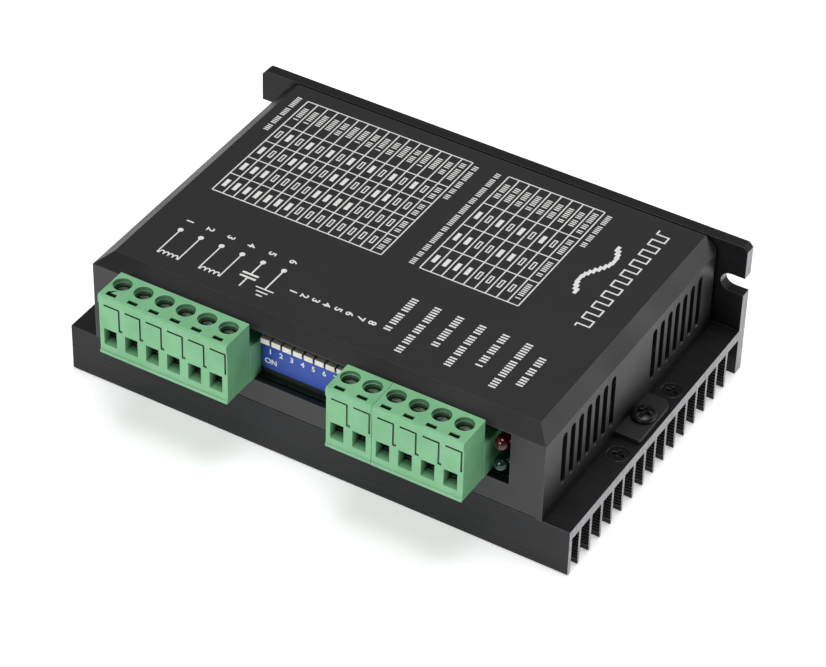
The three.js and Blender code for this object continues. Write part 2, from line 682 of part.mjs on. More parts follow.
function switchLever(i) {
  const [x0, x1] = span(leverX(i), lever.width / 2);
  const tipY = pivotY - lever.reach;
  const taperY = pivotY - lever.taperFrom;
  const [tipLow, tipHigh] = span(pivotZ, lever.tipHalf);
  const [rootLow, rootHigh] = span(pivotZ, lever.rootHalf);
  const outline = [
    [tipY, tipLow], [tipY, tipHigh], [taperY, rootHigh],
    [pivotY, rootHigh], [pivotY, rootLow], [taperY, rootLow],
  ];
  return prismX(outline.reverse(), x0, x1).add(rodX(lever.rootRadius, pivotY, pivotZ, [x0, x1], 12));
}

// ---- indicators -----------------------------------------------------------------
// A round lens that looks out along -Y, its two leads bent down to the board.
function indicator(z, leadReach) {
  const tipY = frontY - led.dome;
  const flangeY = tipY + led.length - led.flange;
  const back = tipY + led.length;
  const dome = arc(0, led.radius, led.radius, 270, 360, 5);
  const profile = [
    ...dome, [led.radius, led.length - led.flange], [led.flangeRadius, led.length - led.flange],
    [led.flangeRadius, led.length], [0, led.length],
  ].map(([radius, along]) => new THREE.Vector2(radius, along));
  const geometry = new THREE.LatheGeometry(profile, 16);
  geometry.translate(ledX, tipY, z);
  const leads = [-1, 1].flatMap((side) => {
    const wide = span(ledX + side * led.leadSpacing / 2, led.lead / 2);
    return [
      block(wide, [flangeY, back + leadReach], span(z, led.lead / 2)),
      block(wide, [back + leadReach - led.lead, back + leadReach], [boardTopZ, z]),
    ];
  });
  return joined([solidFrom(geometry), ...leads]);
}

// ---- the assembly ---------------------------------------------------------------
addPart('heatsink', heatsink(), anodised);
addPart('cover', folded(), blackPaint);
addPart('circuit_board', circuitBoard(), boardLaminate);

connectors.forEach((connector) => {
  addPart(`header_${connector.label}`, headerSocket(connector), greenPlastic);
  addPart(`plug_${connector.label}`, terminalPlug(connector), greenPlastic);
});

const poleCentres = connectors.flatMap(({ startX, poles }) => (
  range(poles).map((i) => startX + (i + 0.5) * pole.pitch)
));
poleCentres.forEach((x, i) => {
  const number = String(i + 1).padStart(2, '0');
  addPart(`terminal_screw_${number}`, wireScrew(x), zincSteel);
  addPart(`wire_clamp_${number}`, wireClamp(x), zincSteel);
});

addPart('switch_housing', switchHousing(), bluePlastic);
addPart('switch_base', switchBase(), blackPlastic);
range(dip.levers).forEach((i) => addPart(`switch_lever_${i + 1}`, switchLever(i), whitePlastic));

const lowLedZ = boardTopZ + led.aboveBoard;
addPart('indicator_green', indicator(lowLedZ, led.lowLeadReach), greenLens);
addPart('indicator_red', indicator(lowLedZ + led.spacing, led.highLeadReach), redLens);

addPart('cover_screw_right', panHeadScrew(footScrewX, fixingY), blackSteel);
addPart('cover_screw_left', panHeadScrew(-footScrewX, fixingY), blackSteel);
plateScrewPlaces().forEach(([x, y], i) => {
  addPart(`plate_screw_${i + 1}`, flushHeadScrew(x, y), blackSteel);
});

addPart('capacitor', lyingCapacitor(), sleeve);
addPart('thermal_pad', thermalPad(), siliconePad);
addPart('bridge_chip_left', bridgeChip(-bridge.spacing / 2), blackPlastic);
addPart('bridge_chip_right', bridgeChip(bridge.spacing / 2), blackPlastic);
addPart('controller_chip', controllerChip(), blackPlastic);
supportPlaces.forEach(({ place, x, y }) => {
  addPart(`board_support_${place}`, boardSupport(x, y), nylon);
});

export default group;
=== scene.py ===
import math
import random

import bmesh
import bpy
from mathutils import Matrix, Vector


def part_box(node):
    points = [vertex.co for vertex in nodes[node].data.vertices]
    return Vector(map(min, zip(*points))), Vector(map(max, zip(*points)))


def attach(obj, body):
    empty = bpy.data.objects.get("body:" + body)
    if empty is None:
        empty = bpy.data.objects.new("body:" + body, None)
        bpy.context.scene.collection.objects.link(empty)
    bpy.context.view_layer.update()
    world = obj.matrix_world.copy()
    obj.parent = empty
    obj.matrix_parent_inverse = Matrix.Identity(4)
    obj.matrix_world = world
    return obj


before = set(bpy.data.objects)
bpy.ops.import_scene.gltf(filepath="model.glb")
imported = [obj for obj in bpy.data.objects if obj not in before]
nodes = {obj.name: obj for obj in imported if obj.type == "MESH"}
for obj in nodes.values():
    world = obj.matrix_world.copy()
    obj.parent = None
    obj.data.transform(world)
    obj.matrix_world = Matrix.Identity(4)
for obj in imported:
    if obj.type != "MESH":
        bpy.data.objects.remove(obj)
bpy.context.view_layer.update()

MM = 0.001
FLAT_WITHIN = 0.01 * MM
BODY = "driver_body"
scene = bpy.context.scene


# ---- places read from the frame --------------------------------------------------
def flat_top(name):
    """The corners of a node's highest flat face, in metres."""
    points = [v.co for v in nodes[name].data.vertices]
    top = max(p.z for p in points)
    flat = [p for p in points if top - p.z < FLAT_WITHIN]
    low = Vector([min(p[i] for p in flat) for i in range(3)])
    high = Vector([max(p[i] for p in flat) for i in range(3)])
    return low, high


def middle(name):
    low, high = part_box(name)
    return (low + high) / 2


cover_low, cover_high = flat_top("cover")


# ---- camera, floor and light -----------------------------------------------------
VIEW_AROUND = math.radians(29.96)
VIEW_DOWN = math.radians(39.43)
VIEW_TURN = math.radians(1.61)
VIEW_DISTANCE = 681.0 * MM
VIEW_TARGET = Vector((4.15, -0.6, 15.0)) * MM

# The lens and the sensor are in mm, and the clip distances in metres.
LENS = 144.37
SENSOR_WIDTH = 36
NEAREST_SEEN = 0.01
FURTHEST_SEEN = 20

# Each softbox has its place and its side in metres, and its power in watts.
SOFTBOXES = {
    "overhead": ((0.1, 0.1, 1.6), 0.9, 16),
    "front": ((-0.2, -1.4, 0.75), 0.7, 11.5),
    "behind_right": ((0.9, 1.0, 0.85), 0.6, 4),
    "behind_left": ((-0.9, 1.55, 1.5), 1.5, 2.2),
}
LIT_POINT = Vector((0, 0, 15.0)) * MM
SKY_STRENGTH = 0.1
FLOOR_HALF = 3.0


def camera():
    data = bpy.data.cameras.new("camera")
    data.lens = LENS
    data.sensor_width = SENSOR_WIDTH
    data.clip_start = NEAREST_SEEN
    data.clip_end = FURTHEST_SEEN
    seen = bpy.data.objects.new("camera", data)
    scene.collection.objects.link(seen)
    away = Vector((
        math.sin(VIEW_AROUND) * math.cos(VIEW_DOWN),
        -math.cos(VIEW_AROUND) * math.cos(VIEW_DOWN),
        math.sin(VIEW_DOWN),
    ))
    turn = (-away).to_track_quat("-Z", "Y").to_matrix().to_4x4()
    seen.matrix_world = (
        Matrix.Translation(VIEW_TARGET + away * VIEW_DISTANCE) @ turn @ Matrix.Rotation(VIEW_TURN, 4, "Z")
    )
    scene.camera = seen


def softbox(name, place, size, power):
    """A square light of that size that faces the middle of the object."""
    data = bpy.data.lights.new(name, "AREA")
    data.shape = "SQUARE"
    data.size = size
    data.energy = power
    lamp = bpy.data.objects.new(name, data)
    scene.collection.objects.link(lamp)
    lamp.location = place
    lamp.rotation_euler = (LIT_POINT - lamp.location).to_track_quat("-Z", "Y").to_euler()


def studio():
    world = bpy.data.worlds.new("studio")
    scene.world = world
    world.use_nodes = True
    sky = world.node_tree.nodes["Background"]
    sky.inputs["Color"].default_value = (1, 1, 1, 1)
    sky.inputs["Strength"].default_value = SKY_STRENGTH
    for name, (place, size, power) in SOFTBOXES.items():
        softbox(name, place, size, power)
    scene.view_settings.view_transform = "Standard"


def floor():
    sheet = bpy.data.meshes.new("floor")
    half = FLOOR_HALF
    corners = [(-half, -half, 0), (half, -half, 0), (half, half, 0), (-half, half, 0)]
    sheet.from_pydata(corners, [], [(0, 1, 2, 3)])
    sheet.materials.append(paper_sheet())
    ground = bpy.data.objects.new("floor", sheet)
    scene.collection.objects.link(ground)


# ---- shading tools ---------------------------------------------------------------
# Most of a noise pattern lies between these two values.
PATTERN_LOW = 0.3
PATTERN_HIGH = 0.7

# How well a rounded normal agrees with the true one: on a flat, and on a sharp edge.
FLAT_AGREES = 0.995
EDGE_AGREES = 0.9

# How much open sky is left: deep in a hole, and in the open.
HOLE_SKY = 0.25
OPEN_SKY = 0.8

# A face belongs to a cut end when its normal is at least this much along X.
END_FACING = 0.9

# How far a moulded face's roughness strays from its mean.
MOULD_UNEVENNESS = 0.05


def linear(hex_colour):
    """An sRGB hex colour as the linear colour that the shaders work in."""
    channels = [int(hex_colour[i:i + 2], 16) / 255 for i in (0, 2, 4)]
    straight = [c / 12.92 if c <= 0.04045 else ((c + 0.055) / 1.055) ** 2.4 for c in channels]
    return (*straight, 1.0)


def add(tree, kind, sockets=None, stops=None, **settings):
    """One node with its settings. sockets gives each input a number or another node's output."""
    made = tree.nodes.new("ShaderNode" + kind)
    for name, value in settings.items():
        setattr(made, name, value)
    for name, value in (sockets or {}).items():
        if isinstance(value, bpy.types.NodeSocket):
            tree.links.new(value, made.inputs[name])
        else:
            made.inputs[name].default_value = value
    for i, (place, colour) in enumerate(stops or []):
        ramp = made.color_ramp.elements
        stop = ramp[i] if i < len(ramp) else ramp.new(place)
        stop.position = place
        stop.color = colour
    return made


def surface(name, **sockets):
    """A new material, and the shader at its end with these constant settings."""
    material = bpy.data.materials.new(name)
    material.use_nodes = True
    shader = material.node_tree.nodes["Principled BSDF"]
    for socket, value in sockets.items():
        shader.inputs[socket.replace("_", " ")].default_value = value
    return material, material.node_tree, shader


def speckle(tree, spot, detail=2.0):
    """An uneven pattern from 0 to 1. spot is the size of its spots in mm, or one size for each axis."""
    sizes = spot if isinstance(spot, tuple) else (spot,) * 3
    place = add(tree, "TexCoord").outputs["Object"]
    scale = tuple(1 / (size * MM) for size in sizes)
    spread = add(tree, "Mapping", {"Vector": place, "Scale": scale})
    pattern = add(tree, "TexNoise", {"Vector": spread.outputs["Vector"], "Scale": 1.0, "Detail": detail})
    return pattern.outputs["Fac"]


def shade(tree, pattern, low, high):
    """A pattern's value drawn as a colour between two hex colours."""
    stops = [(PATTERN_LOW, linear(low)), (PATTERN_HIGH, linear(high))]
    return add(tree, "ValToRGB", {"Fac": pattern}, stops).outputs["Color"]


def remapped(tree, value, from_low, from_high, low, high):
    """A value moved from one range to another, and kept inside the new one."""
    sockets = {
        "Value": value, "From Min": from_low, "From Max": from_high,
        "To Min": low, "To Max": high,
    }
    return add(tree, "MapRange", sockets).outputs["Result"]


def spread_between(tree, pattern, low, high):
    """A pattern's value moved to lie between two numbers."""
    return remapped(tree, pattern, PATTERN_LOW, PATTERN_HIGH, low, high)


def edges(tree, radius):
    """1 on an edge, within about that radius in mm, and 0 on the flats."""
    rounded = add(tree, "Bevel", {"Radius": radius * MM}, samples=4).outputs["Normal"]
    true = add(tree, "NewGeometry").outputs["Normal"]
    same = add(tree, "VectorMath", {0: rounded, 1: true}, operation="DOT_PRODUCT").outputs["Value"]
    return remapped(tree, same, FLAT_AGREES, EDGE_AGREES, 0.0, 1.0)


def recessed(tree, reach):
    """How much painted shade goes on: 1 deep in holes and seams, and 0 in the open. reach is how far in mm
    a wall still shades.
    """
    open_sky = add(tree, "AmbientOcclusion", {"Distance": reach * MM}, samples=8).outputs["AO"]
    return remapped(tree, open_sky, HOLE_SKY, OPEN_SKY, 1.0, 0.0)


def over(tree, mask, below, above):
    """One colour laid over another where the mask is 1."""
    mixed = add(tree, "Mix", {0: mask, 6: below, 7: above}, data_type="RGBA")
    return mixed.outputs[2]


def relief(tree, shader, height, depth, rounding=0):
    """Raises the surface by a pattern, up to depth in mm, over edges rounded by that radius in mm."""
    bump = add(tree, "Bump", {"Height": height, "Distance": depth * MM, "Strength": 1.0})
    if rounding:
        soft = add(tree, "Bevel", {"Radius": rounding * MM}, samples=6)
        tree.links.new(soft.outputs["Normal"], bump.inputs["Normal"])
    tree.links.new(bump.outputs["Normal"], shader.inputs["Normal"])


def feed(tree, shader, **outputs):
    for socket, value in outputs.items():
        tree.links.new(value, shader.inputs[socket.replace("_", " ")])


# ---- materials -------------------------------------------------------------------
def anodised_aluminium():
    """Extruded aluminium, anodised black: satin, with faint die lines along its length.
    It was cut to length after, so the cut ends show grey metal with saw marks."""
    material, tree, shader = surface("anodised_aluminium_extruded", Metallic=0.6)
    lines = speckle(tree, (30, 0.25, 0.25))
    cloud = speckle(tree, 14)
    black = shade(tree, lines, "1c1c1e", "27272a")
    # Painted shade in hollows and seams, then a painted highlight along the edges.
    shaded = over(tree, recessed(tree, 1.5), black, linear("060606"))
    edge_lit = over(tree, edges(tree, 0.12), shaded, linear("66666a"))
    side = add(tree, "SeparateXYZ", {0: add(tree, "TexCoord").outputs["Normal"]}).outputs["X"]
    facing = add(tree, "Math", {0: side}, operation="ABSOLUTE").outputs[0]
    cut = add(tree, "Math", {0: facing, 1: END_FACING}, operation="GREATER_THAN").outputs[0]
    saw = shade(tree, speckle(tree, (0.3, 0.3, 3)), "7a7b7d", "a2a3a5")
    feed(
        tree, shader, Base_Color=over(tree, cut, edge_lit, saw),
        Roughness=spread_between(tree, cloud, 0.38, 0.48),
    )
    relief(tree, shader, lines, 0.008, rounding=0.1)
    return material


def powder_coated_steel():
    """Folded steel, powder coated: satin black with a fine even grain, a painted highlight on the folds
    and painted shade in its hollows and seams.
    """
    material, tree, shader = surface("steel_powder_coated", IOR=1.55)
    grain = speckle(tree, 0.3, 1.0)
    cloud = speckle(tree, 18)
    black = shade(tree, grain, "0c0c0d", "141415")
    # A painted highlight along the folds.
    folds = over(tree, edges(tree, 0.3), black, linear("343435"))
    # Painted shade in hollows and seams on top of that.
    feed(
        tree, shader, Base_Color=over(tree, recessed(tree, 1.5), folds, linear("050505")),
        Roughness=spread_between(tree, cloud, 0.4, 0.5),
    )
    relief(tree, shader, grain, 0.018)
    return material


def moulded(name, dark, light, roughness, painted_highlight_colour=None, painted_shade_colour=None):
    """Injection-moulded plastic: nearly even colour, with the fine dull texture of the mould.
    Its holes can be given a painted shade, and its edges a painted highlight."""
    material, tree, shader = surface(name)
    cloud = speckle(tree, 5)
    grain = speckle(tree, 0.25, 1.0)
    colour = shade(tree, cloud, dark, light)
    # Pale edges are a painted highlight.
    if painted_highlight_colour:
        colour = over(tree, edges(tree, 0.15), colour, linear(painted_highlight_colour))
    # Dark holes are a painted shade.
    if painted_shade_colour:
        colour = over(tree, recessed(tree, 3.5), colour, linear(painted_shade_colour))
    feed(
        tree, shader, Base_Color=colour,
        Roughness=spread_between(tree, grain, roughness - MOULD_UNEVENNESS, roughness + MOULD_UNEVENNESS),
    )
    relief(tree, shader, grain, 0.006)
    return material


def green_polyamide():
    # Its pale edges are a painted highlight and its dark holes a painted shade.
    return moulded(
        "polyamide_moulded_green", "6fae7d", "7bb889", 0.42,
        painted_highlight_colour="a6d2ae", painted_shade_colour="18361f",
    )


def blue_polyester():
    # Its pale edges are a painted highlight and its dark holes a painted shade.
    return moulded(
        "polyester_moulded_blue", "143c96", "1a48aa", 0.4,
        painted_highlight_colour="4476d0", painted_shade_colour="0b1f4c",
    )


def black_polyester():
    return moulded("polyester_moulded_black", "0d0e0f", "141516", 0.5)


def white_polyester():
    # Its dark gaps and holes are a painted shade.
    return moulded("polyester_moulded_white", "d8d4c6", "e6e2d6", 0.42, painted_shade_colour="4a463c")


def nylon():
    return moulded("nylon_moulded_natural", "d9d6c9", "e6e3d8", 0.5)


def chip_epoxy():
    return moulded("epoxy_transfer_moulded", "17181a", "202124", 0.55)


def nickel_plated_steel():
    """Steel with bright nickel plating: a soft mirror with fine turning marks."""
    material, tree, shader = surface("steel_nickel_plated", Metallic=1.0)
    marks = speckle(tree, (0.9, 0.12, 0.12))
    feed(
        tree, shader, Base_Color=shade(tree, marks, "a2a29e", "c4c3be"),
        Roughness=spread_between(tree, marks, 0.22, 0.36),
    )
    relief(tree, shader, marks, 0.004)
    return material


def blackened_steel():
    """Steel screws with a black oxide finish: dark and slightly oily, with a painted highlight along their
    edges.
    """
    material, tree, shader = surface("steel_black_oxide", Metallic=0.85)
    spots = speckle(tree, 0.35)
    black = shade(tree, spots, "262628", "333335")
    # Pale edges are a painted highlight.
    feed(
        tree, shader, Base_Color=over(tree, edges(tree, 0.15), black, linear("6e6e70")),
        Roughness=spread_between(tree, spots, 0.26, 0.42),
    )
    relief(tree, shader, spots, 0.005)
    return material


def board_laminate():
    """Glass cloth in epoxy under solder mask: dark green gloss with the cloth's weave just showing."""
    material, tree, shader = surface("laminate_solder_masked", Coat_Weight=0.4)
    place = add(tree, "TexCoord").outputs["Object"]
    thread = 1 / (0.8 * MM)
    weave = add(tree, "TexChecker", {"Vector": place, "Scale": thread}).outputs["Fac"]
    cloud = speckle(tree, 4)
    mask = shade(tree, cloud, "07150e", "0b1d14")
    feed(
        tree, shader, Base_Color=over(tree, weave, mask, linear("0a1b12")),
        Roughness=spread_between(tree, cloud, 0.28, 0.4),
    )
    relief(tree, shader, weave, 0.01)
    return material


def printed_sleeve():
    """Heat-shrunk film over an aluminium can: dark, glossy and faintly rippled."""
    material, tree, shader = surface("polyester_film_shrunk", Coat_Weight=0.5)
    ripple = speckle(tree, (3, 1.2, 1.2))
    feed(
        tree, shader, Base_Color=shade(tree, ripple, "1b2130", "242c3f"),
        Roughness=spread_between(tree, ripple, 0.2, 0.32),
    )
    relief(tree, shader, ripple, 0.03)
    return material


def silicone_sheet():
    """Filled silicone: soft, dull and speckled."""
    material, tree, shader = surface("silicone_filled_sheet")
    specks = speckle(tree, 0.4)
    feed(
        tree, shader, Base_Color=shade(tree, specks, "7e8995", "97a2ad"),
        Roughness=spread_between(tree, specks, 0.75, 0.9),
    )
    relief(tree, shader, specks, 0.02)
    return material


def tinted_epoxy(name, dark, light):
    """Clear epoxy cast with dye: glossy, deep in colour, unlit."""
    material, tree, shader = surface(name, Transmission_Weight=0.5, IOR=1.54)
    swirl = speckle(tree, 1.2)
    feed(
        tree, shader, Base_Color=shade(tree, swirl, dark, light),
        Roughness=spread_between(tree, swirl, 0.08, 0.16),
    )
    return material


def red_lens():
    return tinted_epoxy("epoxy_cast_red", "3a0610", "5c0d1b")


def green_lens():
    return tinted_epoxy("epoxy_cast_green", "0a2c20", "103c2e")


def tinned_brass():
    """Brass with a tin plating: pale, soft metal with faint drawing marks."""
    material, tree, shader = surface("brass_tin_plated", Metallic=1.0)
    marks = speckle(tree, (0.15, 1.5, 0.15))
    feed(
        tree, shader, Base_Color=shade(tree, marks, "b9b7ae", "d3d1c8"),
        Roughness=spread_between(tree, marks, 0.25, 0.38),
    )
    return material


def screen_ink():
    """White screen-printing ink: matt, a little thin where the mesh left less of it."""
    material, tree, shader = surface("ink_screen_printed_white")
    mesh = speckle(tree, 0.3)
    feed(
        tree, shader, Base_Color=shade(tree, mesh, "d6d6d4", "ececea"),
        Roughness=spread_between(tree, mesh, 0.55, 0.7),
    )
    return material


def paper_sheet():
    """Smooth white card on a light table, which lets a little light through."""
    glow = {"Emission_Color": (1, 1, 1, 1), "Emission_Strength": 0.45}
    material, tree, shader = surface("card_pressed_white", **glow)
    fibre = speckle(tree, (6, 1, 1))
    feed(
        tree, shader, Base_Color=shade(tree, fibre, "f3f3f3", "f6f6f6"),
        Roughness=spread_between(tree, fibre, 0.8, 0.9),
    )
    return material


FINISHES = {
    "black_anodised_aluminium": anodised_aluminium,
    "black_painted_steel": powder_coated_steel,
    "board_laminate": board_laminate,
    "green_terminal_plastic": green_polyamide,
    "blue_switch_plastic": blue_polyester,
    "black_switch_plastic": black_polyester,
    "white_lever_plastic": white_polyester,
    "red_lens": red_lens,
    "green_lens": green_lens,
    "plated_steel": nickel_plated_steel,
    "black_steel_screw": blackened_steel,
    "capacitor_sleeve": printed_sleeve,
    "silicone_pad": silicone_sheet,
    "chip_epoxy": chip_epoxy,
    "nylon": nylon,
}

# How far each kind of piece has its edges rounded, in mm. The kind is the first word of its name.
EDGE_ROUNDING = {
    "cover": 0.22,
    "plug": 0.1,
    "header": 0.12,
    "switch": 0.1,
    "terminal": 0.08,
    "wire": 0.06,
    "plate": 0.08,
    "indicator": 0.05,
}
PLAIN_ROUNDING = 0.1

# Corners this close in mm are joined. Faces that meet at less than the flat turn become one,
# and edges sharper than the rounded turn are rounded.
WELDED_WITHIN = 0.001
FLAT_TURN = math.radians(0.5)
ROUNDED_TURN = math.radians(35)


# ---- the CAD pieces, rounded and finished ----------------------------------------
def round_edges(piece, width):
    """Joins a piece's facets into flat faces and rounds the edges between them."""
    weld = piece.modifiers.new("weld", "WELD")
    weld.merge_threshold = WELDED_WITHIN * MM
    flats = piece.modifiers.new("flats", "DECIMATE")
    flats.decimate_type = "DISSOLVE"
    flats.angle_limit = FLAT_TURN
    rounding = piece.modifiers.new("rounding", "BEVEL")
    rounding.width = width * MM
    rounding.segments = 2
    rounding.limit_method = "ANGLE"
    rounding.angle_limit = ROUNDED_TURN
    rounding.use_clamp_overlap = True
    smoothing = piece.modifiers.new("smoothing", "WEIGHTED_NORMAL")
    smoothing.keep_sharp = False
    piece.data.shade_smooth()


def finish_cad_pieces():
    made = {slot: build() for slot, build in FINISHES.items()}
    for name, piece in nodes.items():
        slot = piece.data.materials[0].name
        piece.material_slots[0].material = made[slot]
        kind = name.split("_")[0]
        if kind == "heatsink":
            piece.data.shade_flat()
        else:
            round_edges(piece, EDGE_ROUNDING.get(kind, PLAIN_ROUNDING))


# ---- new pieces ------------------------------------------------------------------
def solid(name, bm, material, body):
    mesh = bpy.data.meshes.new(name)
    bmesh.ops.recalc_face_normals(bm, faces=bm.faces)
    bm.to_mesh(mesh)
    bm.free()
    mesh.materials.append(material)
    piece = bpy.data.objects.new(name, mesh)
    scene.collection.objects.link(piece)
    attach(piece, body)


def prism(bm, outline, low, high):
    """An upright solid over an outline of (x, y) points."""
    bottom = [bm.verts.new((x, y, low)) for x, y in outline]
    top = [bm.verts.new((x, y, high)) for x, y in outline]
    bm.faces.new(bottom[::-1])
    bm.faces.new(top)
    count = len(outline)
    for i in range(count):
        after = (i + 1) % count
        bm.faces.new((bottom[i], bottom[after], top[after], top[i]))


# ---- white print on the cover ----------------------------------------------------
# Printed marks are laid out from the back left corner of the cover's flat top: "across"
# runs to the right and "down" runs to the front, both in mm. Lines of marks read
# towards the front, and their tops point to the right.
INK_FILM = 0.02
INK_GAP = 0.005
INK_STEP = 0.0003
INK_MIDDLE = INK_GAP + INK_FILM / 2
RULE = 0.28
STROKE = 0.36
BOLD_STROKE = 0.8
COIL_STROKE = 0.3
SYMBOL_STROKE = 0.35
TERMINAL_DOT = 0.62

# A word is a group of this many strokes.
SHORTEST_WORD = 3
LONGEST_WORD = 7

# Inside a table's cells. The shares say how much of the first row its words fill.
CELL_PRINT = 1.25
CELL_MARGIN = 1.4
HEADING_SHARE = 0.5
LAST_HEADING_SHARE = 0.72
SETTING_LONG = 2.6
SETTING_INSET = 0.15

# Lines of words on the cover, each with its place across, its place down and its length.
TABLE_NOTES = ((2.4, 4.0, 14.0), (47.0, 5.1, 13.3), (52.2, 4.8, 36.0), (78.8, 5.1, 12.0))
TABLE_NOTES_TALL = 1.2
SIGNAL_NOTES = (
    (89.3, 52.4, 10.6),
    (85.0, 50.0, 16.0),
    (79.7, 50.0, 11.4),
    (74.4, 50.0, 15.4),
    (69.3, 50.0, 10.7),
    (64.1, 50.0, 16.0),
    (58.8, 50.0, 11.8),
)
SIGNAL_NOTES_TALL = 1.6
NOTES_SEED = 5

NUMBER_TALL = 1.7
LEVERS = 8
SWITCH_NUMBERS_ACROSS = 37.6
SWITCH_NUMBERS_PITCH = 2.64
SWITCH_NUMBERS_DOWN = 61.0

POWER_POLES = 6
SYMBOLS_ACROSS = 7.4
SYMBOLS_DOWN = 56.4
SYMBOLS_PITCH = 5.02
POLE_NUMBER_ABOVE = 3.4

# On the switch's face, measured from its top left corner.
LEVER_NUMBER_TALL = 1.25
LEVER_NUMBER_DOWN = 6.1
CLOSED_MARK_TALL = 1.3
CLOSED_MARK_ACROSS = 2.1
CLOSED_MARK_DOWN = 8.6

# For a figure 1 tall: the font's own size, and how far its outlines are swollen.
FONT_SIZE = 1.4
FONT_BOLDNESS = 0.035


def ink_mesh(name, shapes, material):
    """shapes are outlines of (across, down) points. Each is a film of ink, a hair higher than the last."""
    bm = bmesh.new()
    for i, outline in enumerate(shapes):
        low = cover_high.z + (INK_GAP + i * INK_STEP) * MM
        points = [(cover_low.x + across * MM, cover_high.y - down * MM) for across, down in outline]
        prism(bm, points, low, low + INK_FILM * MM)
    solid(name, bm, material, BODY)


def bar(across, down, wide, long):
    return [(across, down), (across + wide, down), (across + wide, down + long), (across, down + long)]


def disc(across, down, radius, sides=16):
    turns = [2 * math.pi * i / sides for i in range(sides)]
    return [(across + radius * math.cos(t), down + radius * math.sin(t)) for t in turns]


def path(points, width):
    """A line through points, made of one bar for each stretch, with square joins."""
    half = width / 2
    shapes = []
    for (a, b), (c, d) in zip(points, points[1:]):
        along = Vector((c - a, d - b)).normalized() * half
        aside = Vector((-along.y, along.x))
        start = Vector((a, b)) - along
        end = Vector((c, d)) + along
        shapes.append([tuple(start + aside), tuple(start - aside), tuple(end - aside), tuple(end + aside)])
    return shapes


def hollow(across, down, wide, long, line):
    """The outline of a rectangle, drawn with a line of that width inside its edge."""
    return [
        bar(across, down, line, long),
        bar(across + wide - line, down, line, long),
        bar(across + line, down, wide - 2 * line, line),
        bar(across + line, down + long - line, wide - 2 * line, line),
    ]


def words(chance, across, down, long, tall):
    """Groups of plain strokes that stand for a line of printed words, with no letters in it."""
    shapes = []
    stroke = 0.26 * tall
    pitch = 0.5 * tall
    space = 0.8 * pitch
    end = down + long
    place = down
    while place + stroke <= end:
        for _ in range(chance.randint(SHORTEST_WORD, LONGEST_WORD)):
            if place + stroke <= end:
                shapes.append(bar(across, place, tall, stroke))
            place += pitch
        place += space
    return shapes


def notes(name, material, chance, lines, tall):
    shapes = [s for across, down, long in lines for s in words(chance, across, down, long, tall)]
    ink_mesh(name, shapes, material)


def grid(across, down, columns, rows):
    """Table lines. columns and rows are lists of widths in mm."""
    wide = sum(columns)
    long = sum(rows)
    shapes = []
    for i in range(len(columns) + 1):
        shapes.append(bar(across + sum(columns[:i]) - RULE / 2, down, RULE, long))
    for i in range(len(rows) + 1):
        shapes.append(bar(across, down + sum(rows[:i]) - RULE / 2, wide, RULE))
    return shapes


def setting(across, down, row, closed):
    """A full mark for a closed lever and an open one for an open lever, halfway down a row."""
    left = across + SETTING_INSET
    wide = CELL_PRINT - 2 * SETTING_INSET
    begin = down + (row - SETTING_LONG) / 2
    if closed:
        return [bar(left, begin, wide, SETTING_LONG)]
    return hollow(left, begin, wide, SETTING_LONG, RULE)


def table(name, material, across, down, wide, columns, heading, rows, row, seed):
    """A setting table: words in the first row and last column, and a mark for each setting.
    From left to right, the marks of a column count down in binary."""
    chance = random.Random(seed)
    widths = [wide / columns] * columns
    heights = [heading] + [row] * rows
    shapes = grid(across, down, widths, heights)
    last = columns - 1
    for i, width in enumerate(widths):
        left = across + sum(widths[:i]) + (width - CELL_PRINT) / 2
        long = heading * (LAST_HEADING_SHARE if i == last else HEADING_SHARE)
        shapes += words(chance, left, down + (heading - long) / 2, long, CELL_PRINT)
        for j in range(rows):
            top = down + sum(heights[:j + 1])
            if i == last:
                shapes += words(chance, left, top + CELL_MARGIN, row - 2 * CELL_MARGIN, CELL_PRINT)
            else:
                shapes += setting(left, top, row, (last - 1 - i) >> j & 1)
    ink_mesh(name, shapes, material)


def title_wave(material, across, down):
    """A thin train of pulses where a title would be."""
    tall = 2.8
    long = 36.0
    pulses = 9
    pulse = long / pulses
    rise = 0.3 * pulse
    fall = 0.8 * pulse
    points = [(across, down)]
    for i in range(pulses):
        start = down + i * pulse
        points += [(across, start + rise), (across + tall, start + rise)]
        points += [(across + tall, start + fall), (across, start + fall)]
    points.append((across, down + long))
    ink_mesh("print_pulse_train", path(points, STROKE), material)


def stepped_wave(material, across, down):
    """A bold wave made of steps."""
    tall = 3.4
    long = 17.6
    steps = 16
    step = long / steps
    swing = tall / 2
    points = []
    for i in range(steps):
        height = swing + swing * math.sin(2 * math.pi * (i + 0.5) / steps)
        points += [(across + height, down + i * step), (across + height, down + (i + 1) * step)]
    ink_mesh("print_stepped_wave", path(points, BOLD_STROKE), material)


def coil(across, down, wide):
    """Two terminals joined by a winding of humps. Its straight ends are a share of a hump wide."""
    long = 8.4
    humps = 4
    straight = 0.3
    hump_wide = wide / (humps + 2 * straight)
    hump_tall = 0.9
    arcs = 6
    bottom = down + long
    first = across + straight * hump_wide
    points = [(across, down), (across, bottom), (first, bottom)]
    for i in range(humps):
        for k in range(1, arcs + 1):
            turn = math.pi * k / arcs
            along = i * hump_wide + hump_wide * (1 - math.cos(turn)) / 2
            points.append((first + along, bottom - hump_tall * math.sin(turn)))
    points += [(across + wide, bottom), (across + wide, down)]
    dots = [disc(x, down, TERMINAL_DOT) for x in (across, across + wide)]
    return path(points, COIL_STROKE) + dots


